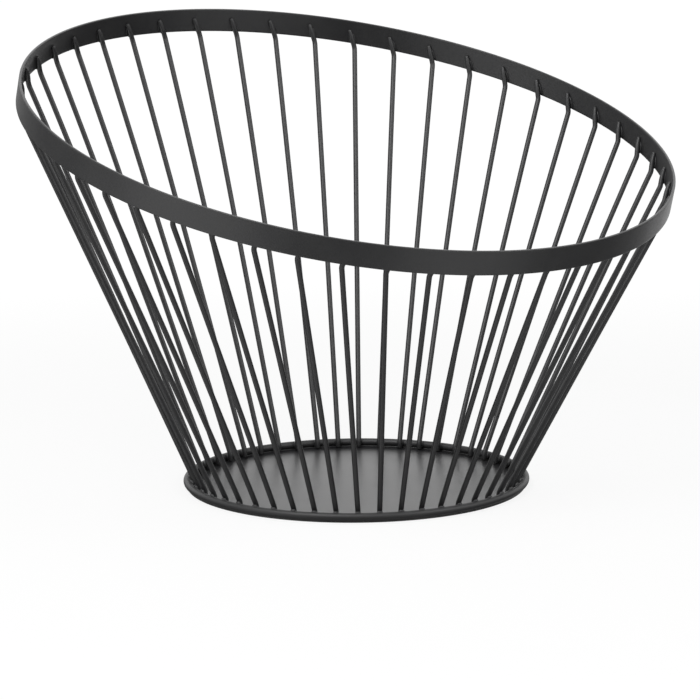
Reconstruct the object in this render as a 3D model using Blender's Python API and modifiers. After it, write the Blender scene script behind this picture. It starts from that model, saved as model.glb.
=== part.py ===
"""A round wire fruit basket with a slanting mouth, in black powder-coated steel.

Forty-eight bent wires stand inside a round-bar foot ring, lean outwards and meet a hoop of flat
strip, which is tilted so that the mouth is low on one side. A thin sheet disc closes the foot.

The frame is in metres, with +Z up. The origin is the middle of the disc's underside, on the table.
The mouth is low at -Y and high at +Y. The wires' upper ends slant one way round the hoop, and
otherwise the basket is the same on both sides of the YZ plane.
"""

from math import cos, pi, radians, sin, tan

import bmesh
import bpy
from mathutils import Matrix, Vector

# Hoop: flat steel strip rolled edgewise into a circle, with its ends butt welded
HOOP_OUTER_DIAMETER = 0.300
STRIP_WIDTH = 0.0112
STRIP_THICKNESS = 0.0012
STRIP_EDGE_RADIUS = 0.0003
HOOP_TILT = radians(15)
HOOP_CENTRE_HEIGHT = 0.1616
HOOP_SETBACK = 0.0046
HOOP_SEGMENTS = 96
SEAM_MERGE_DISTANCE = 0.00003

# Foot ring: round bar bent into a circle
RING_OUTER_DIAMETER = 0.1586
RING_ROD_DIAMETER = 0.0034
RING_SEGMENTS = 96
RING_SIDES = 12

# Base disc: flat sheet under the foot ring, as wide as the ring measured to the middle of its bar
DISC_THICKNESS = 0.0008
DISC_EDGE_BEVEL = 0.0002
DISC_SEGMENTS = 96

# Wires: cut to length and bent at both ends, welded to the inside of the ring and of the hoop
WIRE_COUNT = 48
WIRE_CROWDING = radians(1.1)
WIRE_DIAMETER = 0.0024
WIRE_BEND_RADIUS = 0.0050
WIRE_BEND_STEPS = 3
FOOT_LAP = 0.0029
RIM_BEND_DROP = 0.0014
RIM_LAP_SHARE = 0.6
RIM_LAP_SLANT = radians(26)

# Clearance left where two pieces are welded together
WELD_GAP = 0.0003

COAT_COLOUR = (0.016, 0.016, 0.017, 1.0)
COAT_ROUGHNESS = 0.42
DISC_ROUGHNESS = 0.30

# Places that follow from the sizes above
HOOP_RADIUS = HOOP_OUTER_DIAMETER / 2
RING_CENTRE_RADIUS = (RING_OUTER_DIAMETER - RING_ROD_DIAMETER) / 2
RING_CENTRE_HEIGHT = DISC_THICKNESS + WELD_GAP + RING_ROD_DIAMETER / 2
FOOT_RADIUS = RING_OUTER_DIAMETER / 2 - RING_ROD_DIAMETER - WELD_GAP - WIRE_DIAMETER / 2
FOOT_END_HEIGHT = DISC_THICKNESS + WELD_GAP
RIM_LAP_RADIUS = HOOP_RADIUS - STRIP_THICKNESS - WELD_GAP - WIRE_DIAMETER / 2
WIRE_STEP = 2 * pi / WIRE_COUNT

HOOP_FRAME = Matrix.Translation((0, HOOP_SETBACK, HOOP_CENTRE_HEIGHT)) @ Matrix.Rotation(HOOP_TILT, 4, "X")


def cleared_collection(name):
    """Empties the scene and returns a new collection for the basket's pieces."""
    for obj in list(bpy.data.objects):
        bpy.data.objects.remove(obj, do_unlink=True)
    collection = bpy.data.collections.new(name)
    bpy.context.scene.collection.children.link(collection)
    return collection


def coated_steel(name, roughness):
    """A black powder coat, which hides the steel, so it isn't metallic."""
    material = bpy.data.materials.new(name)
    material.use_nodes = True
    shader = material.node_tree.nodes["Principled BSDF"]
    shader.inputs["Base Color"].default_value = COAT_COLOUR
    shader.inputs["Roughness"].default_value = roughness
    shader.inputs["Metallic"].default_value = 0.0
    return material


def placed(obj, collection, material):
    """Moves an object into the basket's collection and gives it its material."""
    for other in obj.users_collection:
        other.objects.unlink(obj)
    collection.objects.link(obj)
    obj.data.materials.clear()
    obj.data.materials.append(material)
    return obj


def strip_section(mesh):
    """The strip's cross-section with eased edges, drawn down its outer side and up its inner side."""
    half_width = STRIP_WIDTH / 2
    inner = HOOP_RADIUS - STRIP_THICKNESS
    ease = STRIP_EDGE_RADIUS
    corners = [
        (HOOP_RADIUS - ease, half_width),
        (HOOP_RADIUS, half_width - ease),
        (HOOP_RADIUS, ease - half_width),
        (HOOP_RADIUS - ease, -half_width),
        (inner + ease, -half_width),
        (inner, ease - half_width),
        (inner, half_width - ease),
        (inner + ease, half_width),
    ]
    section = bmesh.new()
    points = [section.verts.new((radius, 0, height)) for radius, height in corners]
    for point, after in zip(points, points[1:] + points[:1]):
        section.edges.new((point, after))
    section.to_mesh(mesh)
    section.free()


def rim_hoop(collection, material):
    """The strip's section turned through a full circle, then tilted."""
    mesh = bpy.data.meshes.new("rim_hoop")
    strip_section(mesh)
    hoop = placed(bpy.data.objects.new("rim_hoop", mesh), collection, material)
    turn = hoop.modifiers.new("Turn", "SCREW")
    turn.angle = 2 * pi
    turn.steps = HOOP_SEGMENTS
    turn.render_steps = HOOP_SEGMENTS
    turn.use_merge_vertices = True
    turn.merge_threshold = SEAM_MERGE_DISTANCE
    turn.use_smooth_shade = True
    hoop.matrix_world = HOOP_FRAME
    return hoop


def foot_ring(collection, material):
    """A torus that lies on the disc."""
    bpy.ops.mesh.primitive_torus_add(
        major_radius=RING_CENTRE_RADIUS,
        minor_radius=RING_ROD_DIAMETER / 2,
        major_segments=RING_SEGMENTS,
        minor_segments=RING_SIDES,
        location=(0, 0, RING_CENTRE_HEIGHT),
    )
    ring = placed(bpy.context.object, collection, material)
    ring.name = "foot_ring"
    ring.data.shade_smooth()
    return ring


def base_disc(collection, material):
    """A sheet disc on the table, with the sharp edge of the blank taken off."""
    bpy.ops.mesh.primitive_cylinder_add(
        vertices=DISC_SEGMENTS,
        radius=RING_CENTRE_RADIUS,
        depth=DISC_THICKNESS,
        location=(0, 0, DISC_THICKNESS / 2),
    )
    disc = placed(bpy.context.object, collection, material)
    disc.name = "base_disc"
    edge = disc.modifiers.new("Edge", "BEVEL")
    edge.width = DISC_EDGE_BEVEL
    edge.segments = 1
    edge.limit_method = "ANGLE"
    return disc


def bent_path(corners):
    """A wire's centre line: straight runs joined by an arc of the bend radius at each corner."""
    path = [corners[0]]
    for before, corner, after in zip(corners, corners[1:], corners[2:]):
        arriving = (corner - before).normalized()
        leaving = (after - corner).normalized()
        turn = arriving.angle(leaving)
        inwards = (leaving - arriving * arriving.dot(leaving)).normalized()
        start = corner - arriving * WIRE_BEND_RADIUS * tan(turn / 2)
        for step in range(WIRE_BEND_STEPS + 1):
            angle = turn * step / WIRE_BEND_STEPS
            along = arriving * WIRE_BEND_RADIUS * sin(angle)
            across = inwards * WIRE_BEND_RADIUS * (1 - cos(angle))
            path.append(start + along + across)
    path.append(corners[-1])
    return path


def wire_turn(number):
    """The angle from the low side, towards +X, at which a wire stands.

    No wire stands at the lowest point: the first and last stand half a step to either side of it.
    The wires crowd slightly towards the low side.
    """
    even = WIRE_STEP * (number + 0.5)
    return even - WIRE_CROWDING * sin(even)


def wire_corners(turn):
    """A wire's two ends and two bends.

    Its foot stands upright in the ring, and it leans outwards from there to a bend just below the
    strip. Its other end lies flat against the strip and slants across it, as on every wire.
    """
    outwards = Vector((sin(turn), -cos(turn), 0))
    onwards = Vector((cos(turn), sin(turn), 0))
    upwards = Vector((0, 0, 1))
    foot_end = outwards * FOOT_RADIUS + upwards * FOOT_END_HEIGHT
    foot_bend = foot_end + upwards * FOOT_LAP
    below_strip = outwards * RIM_LAP_RADIUS - upwards * (STRIP_WIDTH / 2 + RIM_BEND_DROP)
    lap = (upwards + onwards * tan(RIM_LAP_SLANT)) * (RIM_BEND_DROP + STRIP_WIDTH * RIM_LAP_SHARE)
    return [foot_end, foot_bend, HOOP_FRAME @ below_strip, HOOP_FRAME @ (below_strip + lap)]


def wire(name, turn, collection, material):
    """A round wire along its bent centre line, with its origin at its foot."""
    path = bent_path(wire_corners(turn))
    origin = path[0]
    curve = bpy.data.curves.new(name, "CURVE")
    curve.dimensions = "3D"
    curve.bevel_depth = WIRE_DIAMETER / 2
    curve.bevel_resolution = 2
    curve.use_fill_caps = True
    spline = curve.splines.new("POLY")
    spline.points.add(len(path) - 1)
    for point, place in zip(spline.points, path):
        point.co = (*(place - origin), 1)
    made = placed(bpy.data.objects.new(name, curve), collection, material)
    made.location = origin
    return made


def main():
    basket = cleared_collection("wire_fruit_basket")
    coat = coated_steel("black_powder_coat", COAT_ROUGHNESS)
    disc_coat = coated_steel("black_powder_coat_on_sheet", DISC_ROUGHNESS)
    rim_hoop(basket, coat)
    foot_ring(basket, coat)
    base_disc(basket, disc_coat)
    for number in range(WIRE_COUNT):
        wire(f"wire_{number + 1:02d}", wire_turn(number), basket, coat)


main()
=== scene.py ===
"""The looks of a round wire fruit basket in satin black powder coat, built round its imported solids.

Every solid is replaced by a finer surface of the same size in the same place: a flat-strip hoop, a
round-bar foot ring, a sheet disc and forty-eight bent wires. Low welds and a bead join them.

Lengths are in metres, with +Z up. The origin is the middle of the disc's underside. The mouth is
low at -Y and high at +Y. A turn is an angle round the basket, from the low side towards +X.
"""

from math import cos, pi, radians, sin, tan

import bpy
import numpy as np
from mathutils import Matrix, Vector


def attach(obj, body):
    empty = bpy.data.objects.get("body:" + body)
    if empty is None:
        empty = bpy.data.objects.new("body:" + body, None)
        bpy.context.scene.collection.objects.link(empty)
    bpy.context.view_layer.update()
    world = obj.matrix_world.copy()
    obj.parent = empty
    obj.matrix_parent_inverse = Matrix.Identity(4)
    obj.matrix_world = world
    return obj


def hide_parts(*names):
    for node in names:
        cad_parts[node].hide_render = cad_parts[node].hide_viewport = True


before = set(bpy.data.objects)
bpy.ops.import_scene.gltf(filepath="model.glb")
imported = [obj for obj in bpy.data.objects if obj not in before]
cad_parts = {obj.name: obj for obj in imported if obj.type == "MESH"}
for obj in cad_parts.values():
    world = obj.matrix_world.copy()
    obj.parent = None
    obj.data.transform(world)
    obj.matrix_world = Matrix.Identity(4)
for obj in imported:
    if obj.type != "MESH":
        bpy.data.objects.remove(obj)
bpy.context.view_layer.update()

# Hoop of flat strip, tilted about the X axis, with the swelling of its butt weld
HOOP_RADIUS = 0.150
HOOP_TILT = radians(15)
HOOP_CENTRE_HEIGHT = 0.1616
HOOP_SETBACK = 0.0046
HOOP_STEPS = 480
STRIP_WIDTH = 0.0112
STRIP_THICKNESS = 0.0012
STRIP_EDGE_RADIUS = 0.00035
STRIP_CORNER_STEPS = 5
STRIP_SIDE_STEPS = 12
SEAM_TURN = radians(151)
SEAM_HEIGHT = 0.00006
SEAM_SPREAD = 0.0011

# Foot ring of round bar
RING_RADIUS = 0.0793
RING_ROD_RADIUS = 0.0017
RING_STEPS = 360
RING_SIDES = 28

# Sheet disc, as wide as the ring measured to the middle of its bar. A power below one crowds its
# rings of points towards the edge
DISC_THICKNESS = 0.0008
DISC_EDGE_RADIUS = 0.00025
DISC_EDGE_STEPS = 4
DISC_STEPS = 240
DISC_RINGS = 12
DISC_RING_POWER = 0.8

# Wires, each with an upright foot inside the ring and a slanting upper end inside the hoop
WIRE_COUNT = 48
WIRE_CROWDING = radians(1.1)
WIRE_RADIUS = 0.0012
WIRE_BEND_RADIUS = 0.0050
WIRE_END_EASE = 0.0003
FOOT_LAP = 0.0029
RIM_BEND_DROP = 0.0014
RIM_LAP_SHARE = 0.6
RIM_LAP_SLANT = radians(26)
WIRE_SIDES = 20
WIRE_RUN_STEPS = 13
WIRE_BEND_STEPS = 8
WIRE_EASE_STEPS = 4

# Upper ends of the wires, pressed into the strip: how far the straight end leans into it, how much
# deeper its tip dives, and how much thinner the tip is
TIP_SINK = 0.0007
TIP_DIVE = 0.0006
TIP_TAPER = 0.00035
TIP_POWER = 3
TIP_STEPS = 12

# Clearance between welded pieces, and the welds that close it: mounds with three half axes, which
# lie sideways, outwards, and up or along the wire's end
WELD_GAP = 0.0003
FOOT_WELD = (0.0016, 0.0010, 0.0019)
FOOT_WELD_RISE = 0.0003
RIM_WELD = (0.0016, 0.00038, 0.0031)
RIM_WELD_SHARE = 0.40
MOUND_RINGS = 9
MOUND_SIDES = 16

# Bead between ring and disc
BEAD_INSET = 0.0006
BEAD_HALF_WIDTH = 0.0008
BEAD_HALF_HEIGHT = 0.0004
BEAD_SIDES = 12

# How far inside their solids the surfaces of the strip, the bar and the wires stay
SHRINK = 0.00001

# Sizes and places that follow from those above
STRIP_HALF_WIDTH = STRIP_WIDTH / 2 - SHRINK
STRIP_HALF_THICKNESS = STRIP_THICKNESS / 2 - SHRINK
RING_CENTRE_RADIUS = RING_RADIUS - RING_ROD_RADIUS
RING_CENTRE_HEIGHT = DISC_THICKNESS + WELD_GAP + RING_ROD_RADIUS
FOOT_RADIUS = RING_RADIUS - 2 * RING_ROD_RADIUS - WELD_GAP - WIRE_RADIUS
FOOT_END_HEIGHT = DISC_THICKNESS + WELD_GAP
RIM_LAP_RADIUS = HOOP_RADIUS - STRIP_THICKNESS - WELD_GAP - WIRE_RADIUS

UP = np.array([0.0, 0.0, 1.0])
HOOP_ROTATION = np.array(Matrix.Rotation(HOOP_TILT, 3, "X"))
HOOP_CENTRE = np.array([0.0, HOOP_SETBACK, HOOP_CENTRE_HEIGHT])

# Powder coat: the two ends of its colour, then the scale and detail of its clouds of colour and
# gloss, of its orange peel and of its fine specks. The peel counts for a share of the specks
COAT_DARK = (0.0135, 0.0135, 0.0145, 1.0)
COAT_LIGHT = (0.0185, 0.0185, 0.0190, 1.0)
CLOUDS = (55, 3)
PEEL = (900, 1)
SPECKS = (2600, 2)
PEEL_SHARE = 0.35
NOISE_MIDDLE = (0.3, 0.7)

# The coat on each kind of piece: its roughness, how far that strays, and the height of its grain
STRIP_COAT = (0.34, 0.03, 0.00005)
BAR_COAT = (0.50, 0.03, 0.00005)
WIRE_COAT = (0.42, 0.03, 0.00004)
SHEET_COAT = (0.33, 0.01, 0.00002)

# Floor, a little below the disc. Near the basket its glow has a share, and the rest is matt and
# shows the shadow. Reflections look through it, with a painted shadow near the basket. Each reach
# is the pair of distances from the origin over which that fades out
FLOOR_HALF_SIZE = 12.0
FLOOR_DROP = 0.0003
FLOOR_COLOUR = (0.8, 0.8, 0.8, 1.0)
FLOOR_GLOW = 1.025
FLOOR_GLOW_SHARE = 0.84
FLOOR_GLOW_REACH = (0.25, 0.70)
FLOOR_PAINTED_SHADE = 0.5
FLOOR_PAINTED_SHADE_REACH = (0.078, 0.150)

# World: the light that it gives, and the heights of a direction between which the mirrored
# surround gives way to white. Above the horizon, the wall behind the basket is brighter still
WHITE = (1.0, 1.0, 1.0, 1.0)
SOFT_GREY = (0.8, 0.8, 0.8, 1.0)
SOFT_LIGHT = 0.45
HORIZON = (-0.04, 0.14)
WALL_TURN = radians(139)
WALL_SPREAD = (0.3, 0.9)
WALL_LIGHT = 1.3

# The mirrored surround's brightness by the angle round from the low side, in degrees: large soft
# lights at the left and the front right, a smaller one behind, and dim parts between them and
# behind the camera
SURROUND = [
    (-180, 0.20),
    (-160, 0.22),
    (-135, 0.55),
    (-108, 1.50),
    (-85, 1.30),
    (-52, 0.20),
    (-35, 0.36),
    (-5, 1.08),
    (15, 0.95),
    (45, 0.25),
    (75, 0.12),
    (95, 0.34),
    (113, 0.92),
    (138, 0.82),
    (165, 0.34),
    (180, 0.20),
]

# Square lamps: the angle round from the low side and the height, in degrees, the distance and the
# power in watts
SOFTBOX_SIZE = 0.9
SOFTBOX_AIM = Vector((0, 0, 0.1))
KEY_SOFTBOX = (-75, 48, 1.5, 16)
FILL_SOFTBOX = (25, 35, 1.7, 8)

# Camera, a pinhole that was fitted to the hoop, ring and wires in the photograph. The origin's
# place is given as the camera sees it: to the right, up and ahead
PICTURE_PIXELS = 700.0
FOCAL_PIXELS = 4117.8
SENSOR_WIDTH = 36.0
CAMERA_TURN = radians(-40.908)
CAMERA_PITCH = 0.19202
CAMERA_ROLL = -0.00822
ORIGIN_SEEN = (0.0029618, -0.0613651, 1.8900586)
FARTHEST_SEEN = 50.0


def fill(tree, socket, value):
    """Links another node's output to a socket, or sets the socket to a plain value."""
    if isinstance(value, bpy.types.NodeSocket):
        tree.links.new(value, socket)
    else:
        socket.default_value = value


def calculated(tree, operation, *terms, kind="ShaderNodeMath"):
    """One operation on outputs of other nodes or plain values."""
    node = tree.nodes.new(kind)
    node.operation = operation
    for socket, term in zip(node.inputs, terms):
        fill(tree, socket, term)
    return node.outputs["Value"]


def carried_over(tree, value, span, levels, interpolation="LINEAR"):
    """Carries a value's span over to the two levels, and keeps to them outside it."""
    node = tree.nodes.new("ShaderNodeMapRange")
    node.interpolation_type = interpolation
    node.inputs["From Min"].default_value, node.inputs["From Max"].default_value = span
    node.inputs["To Min"].default_value, node.inputs["To Max"].default_value = levels
    tree.links.new(value, node.inputs["Value"])
    return node.outputs["Result"]


def mixed_colour(tree, share, first, second):
    """A mix of two colours: the second one takes the share."""
    node = tree.nodes.new("ShaderNodeMix")
    node.data_type = "RGBA"
    fill(tree, node.inputs["Factor"], share)
    fill(tree, node.inputs["A"], first)
    fill(tree, node.inputs["B"], second)
    return node.outputs["Result"]


def mixed(tree, share, first, second):
    """A mix of two shaders: the second one takes the share."""
    node = tree.nodes.new("ShaderNodeMixShader")
    tree.links.new(share, node.inputs["Fac"])
    tree.links.new(first, node.inputs[1])
    tree.links.new(second, node.inputs[2])
    return node.outputs["Shader"]


def noise(tree, place, scale, detail):
    """A Noise node on the piece's own coordinates."""
    node = tree.nodes.new("ShaderNodeTexNoise")
    node.inputs["Scale"].default_value = scale
    node.inputs["Detail"].default_value = detail
    tree.links.new(place, node.inputs["Vector"])
    return node.outputs["Fac"]


def powder_coat(name, roughness, unevenness, grain_height):
    """Satin black powder coat: a fine orange peel, with a faintly uneven colour and gloss."""
    material = bpy.data.materials.new(name)
    material.use_nodes = True
    tree = material.node_tree
    shader = tree.nodes["Principled BSDF"]
    place = tree.nodes.new("ShaderNodeTexCoord").outputs["Object"]

    clouds = noise(tree, place, *CLOUDS)
    cloud_share = carried_over(tree, clouds, NOISE_MIDDLE, (0, 1))
    tint = mixed_colour(tree, cloud_share, COAT_DARK, COAT_LIGHT)
    tree.links.new(tint, shader.inputs["Base Color"])

    extremes = (roughness - unevenness, roughness + unevenness)
    tree.links.new(carried_over(tree, clouds, NOISE_MIDDLE, extremes), shader.inputs["Roughness"])

    specks, peel = noise(tree, place, *SPECKS), noise(tree, place, *PEEL)
    grain = tree.nodes.new("ShaderNodeBump")
    grain.inputs["Distance"].default_value = grain_height
    height = calculated(tree, "MULTIPLY_ADD", peel, PEEL_SHARE, specks)
    tree.links.new(height, grain.inputs["Height"])
    tree.links.new(grain.outputs["Normal"], shader.inputs["Normal"])
    return material


def full_circle(steps):
    """Equal angles once round, from zero."""
    return np.arange(steps) * 2 * pi / steps


def unit(vector):
    """A vector's direction, as a vector of length one."""
    return vector / np.linalg.norm(vector)


def between(start, end, steps):
    """Equal steps from one point to the other, without the two points."""
    share = np.linspace(0, 1, steps + 1)[1:-1, None]
    return start * (1 - share) + end * share


def outwards(turn):
    """The level unit vector that points out of the basket at each turn."""
    turn = np.asarray(turn, float)
    return np.stack([np.sin(turn), -np.cos(turn), np.zeros_like(turn)], -1)


def onwards(turn):
    """The level unit vector along the ring, in the direction in which the turn grows."""
    return np.array([cos(turn), sin(turn), 0.0])


def hoop_outwards(turn):
    """The unit vector at one turn that points out of the tilted hoop, square through the strip."""
    return HOOP_ROTATION @ outwards(turn)


def on_hoop(radius, along, turn):
    """The point at this radius and this height along the hoop's own tilted axis, at each turn."""
    flat = outwards(turn) * np.asarray(radius)[..., None] + UP * np.asarray(along)[..., None]
    return HOOP_CENTRE + flat @ HOOP_ROTATION.T


def turned(radius, height, steps):
    """A profile carried once round the upright axis, as rows of points[turn, profile].

    A point is its radius by the outward direction at its turn, plus its height upwards.
    """
    return outwards(full_circle(steps))[:, None] * radius[:, None] + UP * height[:, None]


def grid_faces(along, around, closed):
    """The quads between neighbouring rows of a grid that closes round, and end to end if asked."""
    index = np.arange(along * around).reshape(along, around)
    here = index if closed else index[:-1]
    after = np.roll(index, -1, axis=0) if closed else index[1:]
    return np.stack([here, np.roll(here, -1, 1), np.roll(after, -1, 1), after], -1).reshape(-1, 4)


def skin(points, closed=False):
    """The vertices, quads and end triangles of a closed skin over rows of points[along, around].

    Where the rows don't meet end to end, each end closes in a fan about the middle of its row.
    """
    along, around = points.shape[:2]
    vertices = points.reshape(-1, 3)
    quads = grid_faces(along, around, closed)
    if closed:
        return vertices, quads, np.empty((0, 3), int)
    first, last = len(vertices), len(vertices) + 1
    rim = np.arange(around)
    ahead = np.roll(rim, -1)
    to_end = (along - 1) * around
    first_fan = np.stack([ahead, rim, np.full(around, first)], -1)
    last_fan = np.stack([rim + to_end, ahead + to_end, np.full(around, last)], -1)
    vertices = np.concatenate([vertices, points[[0, -1]].mean(1)])
    return vertices, quads, np.concatenate([first_fan, last_fan])


def signed_volume(vertices, quads, triangles):
    """Six times the volume inside: the sum of the triple products of all triangles' corners."""
    halves = [quads[:, [0, 1, 2]], quads[:, [0, 2, 3]], triangles]
    return np.linalg.det(vertices[np.concatenate(halves)]).sum()


def placed(name, data):
    """A new object in the scene, at the origin."""
    made = bpy.data.objects.new(name, data)
    bpy.context.scene.collection.objects.link(made)
    return made


def piece(name, skins, material, nodes=()):
    """One object from one or several closed skins, riding on the basket's only body.

    A skin with a negative volume has its faces turned over, so that they all point outwards.
    """
    vertices, faces = [], []
    start = 0
    for points, quads, triangles in skins:
        if signed_volume(points, quads, triangles) < 0:
            quads, triangles = quads[:, ::-1], triangles[:, ::-1]
        vertices.append(points)
        faces += (quads + start).tolist() + (triangles + start).tolist()
        start += len(points)
    mesh = bpy.data.meshes.new(name)
    mesh.from_pydata(np.concatenate(vertices).tolist(), [], faces)
    mesh.materials.append(material)
    mesh.shade_smooth()
    made = placed(name, mesh)
    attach(made, "root")
    if nodes:
        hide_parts(*nodes)


def strip_section():
    """The strip's section with eased edges, as points (across, along) that run anticlockwise.

    Each corner is an arc of the edge radius about its own centre. Between two corners the side is
    cut into equal steps, so that its shading stays flat.
    """
    ease = STRIP_EDGE_RADIUS
    quarter = np.linspace(0, pi / 2, STRIP_CORNER_STEPS + 1)
    corners = []
    for number, (right, top) in enumerate([(1, 1), (-1, 1), (-1, -1), (1, -1)]):
        centre = np.array([right * (STRIP_HALF_THICKNESS - ease), top * (STRIP_HALF_WIDTH - ease)])
        angle = quarter + number * pi / 2
        corners.append(centre + ease * np.stack([np.cos(angle), np.sin(angle)], -1))
    points = []
    for corner, after in zip(corners, corners[1:] + corners[:1]):
        points += [corner, between(corner[-1], after[0], STRIP_SIDE_STEPS)]
    return np.concatenate(points)


def hoop_skin():
    """The strip's eased section carried round the tilted circle.

    Its butt weld, ground flush inside, stays as a low swelling of the outer face: a bell curve of
    the distance from the weld.
    """
    across, along = strip_section().T
    turn = full_circle(HOOP_STEPS)[:, None]
    swell = SEAM_HEIGHT * np.exp(-(((turn - SEAM_TURN) * HOOP_RADIUS / SEAM_SPREAD) ** 2))
    outer_share = np.clip(across / STRIP_HALF_THICKNESS, 0, 1)
    radius = HOOP_RADIUS - STRIP_THICKNESS / 2 + across + swell * outer_share
    return skin(on_hoop(radius, along, turn), closed=True)


def ring_skin():
    """A torus: a circle of the bar's radius carried round the ring's centre line."""
    around = full_circle(RING_SIDES)
    rod = RING_ROD_RADIUS - SHRINK
    radius = RING_CENTRE_RADIUS + rod * np.cos(around)
    height = RING_CENTRE_HEIGHT + rod * np.sin(around)
    return skin(turned(radius, height, RING_STEPS), closed=True)


def disc_skin():
    """A turned profile: from near the middle of the top out to the eased edge and back below."""
    quarter = np.linspace(0, pi / 2, DISC_EDGE_STEPS + 1)
    edge = RING_CENTRE_RADIUS - DISC_EDGE_RADIUS
    top = DISC_THICKNESS - DISC_EDGE_RADIUS
    flat = edge * np.linspace(0, 1, DISC_RINGS + 2)[1:-1] ** DISC_RING_POWER
    radius = np.concatenate(
        [
            flat,
            edge + DISC_EDGE_RADIUS * np.sin(quarter),
            edge + DISC_EDGE_RADIUS * np.cos(quarter),
            flat[::-1],
        ]
    )
    height = np.concatenate(
        [
            np.full(DISC_RINGS, DISC_THICKNESS),
            top + DISC_EDGE_RADIUS * np.cos(quarter),
            DISC_EDGE_RADIUS * (1 - np.sin(quarter)),
            np.zeros(DISC_RINGS),
        ]
    )
    return skin(turned(radius, height, DISC_STEPS).swapaxes(0, 1))


def wire_turn(number):
    """The turn at which a wire stands: even steps, less a sine that crowds them to the low side.

    The first and last wire stand half a step to either side of the lowest point.
    """
    even = (number + 0.5) * 2 * pi / WIRE_COUNT
    return even - WIRE_CROWDING * sin(even)


def wire_corners(turn):
    """A wire's foot, its two bends and its upper end, as the solids have them."""
    foot_end = outwards(turn) * FOOT_RADIUS + UP * FOOT_END_HEIGHT
    foot_bend = foot_end + UP * FOOT_LAP
    rim_bend = on_hoop(RIM_LAP_RADIUS, -STRIP_WIDTH / 2 - RIM_BEND_DROP, turn)
    slanted = HOOP_ROTATION @ (UP + onwards(turn) * tan(RIM_LAP_SLANT))
    rim_end = rim_bend + slanted * (RIM_BEND_DROP + STRIP_WIDTH * RIM_LAP_SHARE)
    return np.array([foot_end, foot_bend, rim_bend, rim_end])


def sunk_corners(turn):
    """The same corners, with the upper end pressed slightly into the strip's inner face."""
    corners = wire_corners(turn)
    corners[-1] += hoop_outwards(turn) * TIP_SINK
    return corners


def bend(before, corner, after):
    """Points on the arc that rounds a corner: start + along * sin + inwards * (1 - cos)."""
    arriving, leaving = unit(corner - before), unit(after - corner)
    whole_bend = np.arccos(np.clip(arriving @ leaving, -1, 1))
    inwards = unit(leaving - arriving * (arriving @ leaving))
    angle = np.linspace(0, whole_bend, WIRE_BEND_STEPS + 1)[:, None]
    start = corner - arriving * WIRE_BEND_RADIUS * tan(whole_bend / 2)
    return start + WIRE_BEND_RADIUS * (arriving * np.sin(angle) + inwards * (1 - np.cos(angle)))


def tube(path, radii, sideways):
    """Rings of points round a path. Each ring stands square to the path.

    Its first axis is the sideways vector made square to the path, and its second is the path's
    direction crossed with the first. A point is the path plus the radius along both axes, by the
    cosine and the sine of its angle.
    """
    along = np.gradient(path, axis=0)
    along /= np.linalg.norm(along, axis=1)[:, None]
    first = sideways - along * (along @ sideways)[:, None]
    first /= np.linalg.norm(first, axis=1)[:, None]
    second = np.cross(along, first)
    angle = full_circle(WIRE_SIDES)[:, None]
    ring = np.cos(angle) * first[:, None] + np.sin(angle) * second[:, None]
    return path[:, None] + ring * radii[:, None, None]


def wire_skin(turn):
    """A tube along straight runs with an arc at each bend.

    Both ends are cut square, with a quarter circle as the edge. From its bend to its tip, the upper
    end thins and dives into the strip by a power of the way along it.
    """
    corners = sunk_corners(turn)
    foot_arc, rim_arc = bend(*corners[:3]), bend(*corners[1:])
    run = between(foot_arc[-1], rim_arc[0], WIRE_RUN_STEPS)
    quarter = np.linspace(0, pi / 2, WIRE_EASE_STEPS + 1)
    ease = (1 - np.cos(quarter))[:, None]
    foot = corners[0] + UP * ease * WIRE_END_EASE
    tip = corners[-1] + unit(rim_arc[-1] - corners[-1]) * ease[::-1] * WIRE_END_EASE
    lap = np.concatenate([between(rim_arc[-1], tip[0], TIP_STEPS), tip])
    way = np.linalg.norm(lap - rim_arc[-1], axis=1) / np.linalg.norm(corners[-1] - rim_arc[-1])
    lap = lap + hoop_outwards(turn) * TIP_DIVE * way[:, None] ** TIP_POWER
    path = np.concatenate([foot, foot_arc, run, rim_arc, lap])
    radii = np.full(len(path), WIRE_RADIUS - SHRINK)
    lip = WIRE_END_EASE * (1 - np.sin(quarter))
    radii[: len(foot)] -= lip
    radii[-len(lap) :] -= TIP_TAPER * way**TIP_POWER
    radii[-len(tip) :] -= lip[::-1]
    return skin(tube(path, radii, onwards(turn)))


def mound(centre, directions, half_axes):
    """An ellipsoid: its centre plus its three half axes by the two angles of a sphere."""
    high = np.linspace(-pi / 2, pi / 2, MOUND_RINGS + 2)[1:-1, None]
    around = full_circle(MOUND_SIDES)
    sideways = np.cos(high) * np.cos(around)
    out = np.cos(high) * np.sin(around)
    up = np.broadcast_to(np.sin(high), out.shape)
    axes = np.array(directions) * np.array(half_axes)[:, None]
    return skin(centre + np.stack([sideways, out, up], -1) @ axes)


def foot_weld(turn):
    """The weld between a wire's foot and the inside of the ring."""
    out = outwards(turn)
    in_the_gap = out * (FOOT_RADIUS + WIRE_RADIUS + WELD_GAP / 2)
    centre = in_the_gap + UP * (RING_CENTRE_HEIGHT + FOOT_WELD_RISE)
    return mound(centre, (onwards(turn), out, UP), FOOT_WELD)


def rim_weld(turn):
    """The low weld round a wire's upper end, on the strip's inner face.

    It lies at a share of the way up the end, from just below the strip's edge to the tip.
    """
    rim_bend, rim_end = wire_corners(turn)[2:]
    out = hoop_outwards(turn)
    along = unit(rim_end - rim_bend)
    below_edge = rim_bend + along * RIM_BEND_DROP
    on_wire = below_edge * (1 - RIM_WELD_SHARE) + rim_end * RIM_WELD_SHARE
    centre = on_wire + out * (WELD_GAP + WIRE_RADIUS)
    return mound(centre, (np.cross(out, along), out, along), RIM_WELD)


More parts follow.
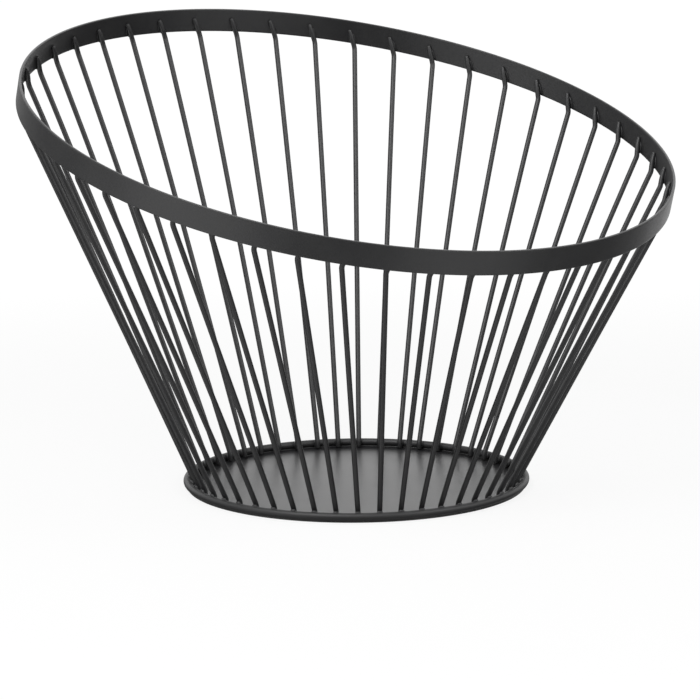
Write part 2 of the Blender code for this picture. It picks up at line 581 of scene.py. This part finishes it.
def bead_skin():
    """The weld bead that closes the gap between ring and disc: an ellipse carried round."""
    around = full_circle(BEAD_SIDES)
    radius = RING_CENTRE_RADIUS - BEAD_INSET + BEAD_HALF_WIDTH * np.cos(around)
    height = DISC_THICKNESS + WELD_GAP / 2 + BEAD_HALF_HEIGHT * np.sin(around)
    return skin(turned(radius, height, RING_STEPS), closed=True)


def build_basket():
    """All pieces of the basket, each with its coat and the node that it replaces."""
    strip_coat = powder_coat("black_powder_coat", *STRIP_COAT)
    bar_coat = powder_coat("black_powder_coat_on_bar", *BAR_COAT)
    wire_coat = powder_coat("black_powder_coat_on_wire", *WIRE_COAT)
    sheet_coat = powder_coat("black_powder_coat_on_sheet", *SHEET_COAT)
    piece("hoop_strip", [hoop_skin()], strip_coat, ["rim_hoop"])
    piece("foot_ring_bar", [ring_skin()], bar_coat, ["foot_ring"])
    piece("base_sheet", [disc_skin()], sheet_coat, ["base_disc"])
    turns = [wire_turn(number) for number in range(WIRE_COUNT)]
    for number, turn in enumerate(turns):
        name = f"wire_{number + 1:02d}"
        piece(f"bent_{name}", [wire_skin(turn)], wire_coat, [name])
    piece("foot_welds", [foot_weld(turn) for turn in turns], bar_coat)
    piece("rim_welds", [rim_weld(turn) for turn in turns], strip_coat)
    piece("base_bead", [bead_skin()], bar_coat)


def emptied_tree(owner):
    """The node tree of a new material or world, without the nodes that it starts with."""
    owner.use_nodes = True
    owner.node_tree.nodes.clear()
    return owner.node_tree


def floor_finish():
    """White where it is seen, with a faint shadow nearby, and matt for the light that it returns.

    Reflections look through it at the surround's lower half, with painted shadow near the basket.
    """
    material = bpy.data.materials.new("pale_floor")
    tree = emptied_tree(material)
    matt = tree.nodes.new("ShaderNodeBsdfDiffuse")
    matt.inputs["Color"].default_value = FLOOR_COLOUR
    glow = tree.nodes.new("ShaderNodeEmission")
    glow.inputs["Strength"].default_value = FLOOR_GLOW
    clear = tree.nodes.new("ShaderNodeBsdfTransparent")

    place = tree.nodes.new("ShaderNodeTexCoord").outputs["Object"]
    distance = calculated(tree, "LENGTH", place, kind="ShaderNodeVectorMath")
    # Painted shadow: what reflections see through the floor is darkened near the basket
    painted_shade = carried_over(tree, distance, FLOOR_PAINTED_SHADE_REACH, (FLOOR_PAINTED_SHADE, 1), "SMOOTHSTEP")
    tree.links.new(painted_shade, clear.inputs["Color"])
    glow_share = carried_over(tree, distance, FLOOR_GLOW_REACH, (FLOOR_GLOW_SHARE, 1), "SMOOTHSTEP")

    ray = tree.nodes.new("ShaderNodeLightPath").outputs
    bright = mixed(tree, glow_share, matt.outputs["BSDF"], glow.outputs["Emission"])
    solid = mixed(tree, ray["Is Camera Ray"], matt.outputs["BSDF"], bright)
    mirrored = calculated(tree, "MAXIMUM", ray["Is Glossy Ray"], ray["Is Transmission Ray"])
    end = tree.nodes.new("ShaderNodeOutputMaterial")
    tree.links.new(mixed(tree, mirrored, solid, clear.outputs["BSDF"]), end.inputs["Surface"])
    return material


def make_floor():
    """A large level square under the basket, which isn't part of it."""
    ends = ((-1, -1), (1, -1), (1, 1), (-1, 1))
    corners = [(x * FLOOR_HALF_SIZE, y * FLOOR_HALF_SIZE, -FLOOR_DROP) for x, y in ends]
    mesh = bpy.data.meshes.new("floor")
    mesh.from_pydata(corners, [], [(0, 1, 2, 3)])
    mesh.materials.append(floor_finish())
    placed("floor", mesh)


def surround(tree, axes):
    """The mirrored surround's brightness, which goes by a direction's angle round the basket.

    The angle is the arctangent of X over minus Y. Between the angles that SURROUND names, the
    brightness changes in soft steps.
    """
    minus_y = calculated(tree, "MULTIPLY", axes.outputs["Y"], -1)
    angle = calculated(tree, "ARCTAN2", axes.outputs["X"], minus_y)
    ramp = tree.nodes.new("ShaderNodeValToRGB")
    tree.links.new(carried_over(tree, angle, (-pi, pi), (0, 1)), ramp.inputs["Fac"])
    ramp.color_ramp.interpolation = "EASE"
    stops = ramp.color_ramp.elements
    first, last = SURROUND[0][0], SURROUND[-1][0]
    for degrees, _ in SURROUND[1:-1]:
        stops.new((degrees - first) / (last - first))
    for stop, (_, light) in zip(stops, SURROUND):
        stop.color = (light, light, light, 1)
    return ramp.outputs["Color"]


def mirrored_studio(tree):
    """How bright each direction of the studio is in the coat's reflections.

    Near and below the horizon it is the surround. Above the horizon it rises to plain white, and to
    a brighter wall behind the basket: the brightness there goes by the direction's product with
    the wall's direction.
    """
    direction = tree.nodes.new("ShaderNodeTexCoord").outputs["Generated"]
    axes = tree.nodes.new("ShaderNodeSeparateXYZ")
    tree.links.new(direction, axes.inputs["Vector"])
    wall = outwards(WALL_TURN)
    facing = calculated(tree, "DOT_PRODUCT", direction, wall, kind="ShaderNodeVectorMath")
    above = carried_over(tree, facing, WALL_SPREAD, (1, WALL_LIGHT), "SMOOTHSTEP")
    above_share = carried_over(tree, axes.outputs["Z"], HORIZON, (0, 1), "SMOOTHSTEP")
    return mixed_colour(tree, above_share, surround(tree, axes), above)


def background(tree, colour, strength=1.0):
    """A world of one colour, or of the colours of another node's output."""
    node = tree.nodes.new("ShaderNodeBackground")
    fill(tree, node.inputs["Color"], colour)
    node.inputs["Strength"].default_value = strength
    return node.outputs["Background"]


def make_world():
    """White where it is seen, a studio where it is mirrored, and soft grey for its own light."""
    world = bpy.data.worlds.new("studio")
    bpy.context.scene.world = world
    tree = emptied_tree(world)
    soft = background(tree, SOFT_GREY, SOFT_LIGHT)
    studio = background(tree, mirrored_studio(tree))
    ray = tree.nodes.new("ShaderNodeLightPath").outputs
    given = mixed(tree, ray["Is Glossy Ray"], soft, studio)
    seen = calculated(tree, "MAXIMUM", ray["Is Camera Ray"], ray["Is Transmission Ray"])
    end = tree.nodes.new("ShaderNodeOutputWorld")
    tree.links.new(mixed(tree, seen, given, background(tree, WHITE)), end.inputs["Surface"])


def softbox(name, azimuth, elevation, distance, power):
    """A square lamp that looks at the basket from two angles in degrees, round it and above it."""
    lamp = bpy.data.lights.new(name, "AREA")
    lamp.size = SOFTBOX_SIZE
    lamp.energy = power
    rise = radians(elevation)
    away = Vector(outwards(radians(azimuth))) * cos(rise) + Vector(UP) * sin(rise)
    box = placed(name, lamp)
    box.location = SOFTBOX_AIM + away * distance
    box.rotation_euler = (-away).to_track_quat("-Z", "Y").to_euler()


def make_camera():
    """A long lens at the photograph's angle.

    The camera's axes are pitched down, rolled about the way ahead, and then turned with its place
    about the upright axis.
    """
    ahead = np.array([0.0, cos(CAMERA_PITCH), -sin(CAMERA_PITCH)])
    level_right = np.array([1.0, 0.0, 0.0])
    level_up = np.array([0.0, sin(CAMERA_PITCH), cos(CAMERA_PITCH)])
    right = cos(CAMERA_ROLL) * level_right + sin(CAMERA_ROLL) * level_up
    up = cos(CAMERA_ROLL) * level_up - sin(CAMERA_ROLL) * level_right
    to_right, above, beyond = ORIGIN_SEEN
    place = -(to_right * right + above * up + beyond * ahead)
    about_upright = np.array(Matrix.Rotation(CAMERA_TURN, 3, "Z"))
    facing = Matrix((about_upright @ np.array([right, up, -ahead]).T).tolist()).to_4x4()
    lens = bpy.data.cameras.new("camera")
    lens.lens = FOCAL_PIXELS * SENSOR_WIDTH / PICTURE_PIXELS
    lens.sensor_width = SENSOR_WIDTH
    lens.clip_end = FARTHEST_SEEN
    camera = placed("camera", lens)
    camera.matrix_world = Matrix.Translation(Vector(about_upright @ place)) @ facing
    bpy.context.scene.camera = camera


build_basket()
make_floor()
make_world()
softbox("key_softbox", *KEY_SOFTBOX)
softbox("fill_softbox", *FILL_SOFTBOX)
make_camera()
bpy.context.scene.view_settings.view_transform = "Standard"
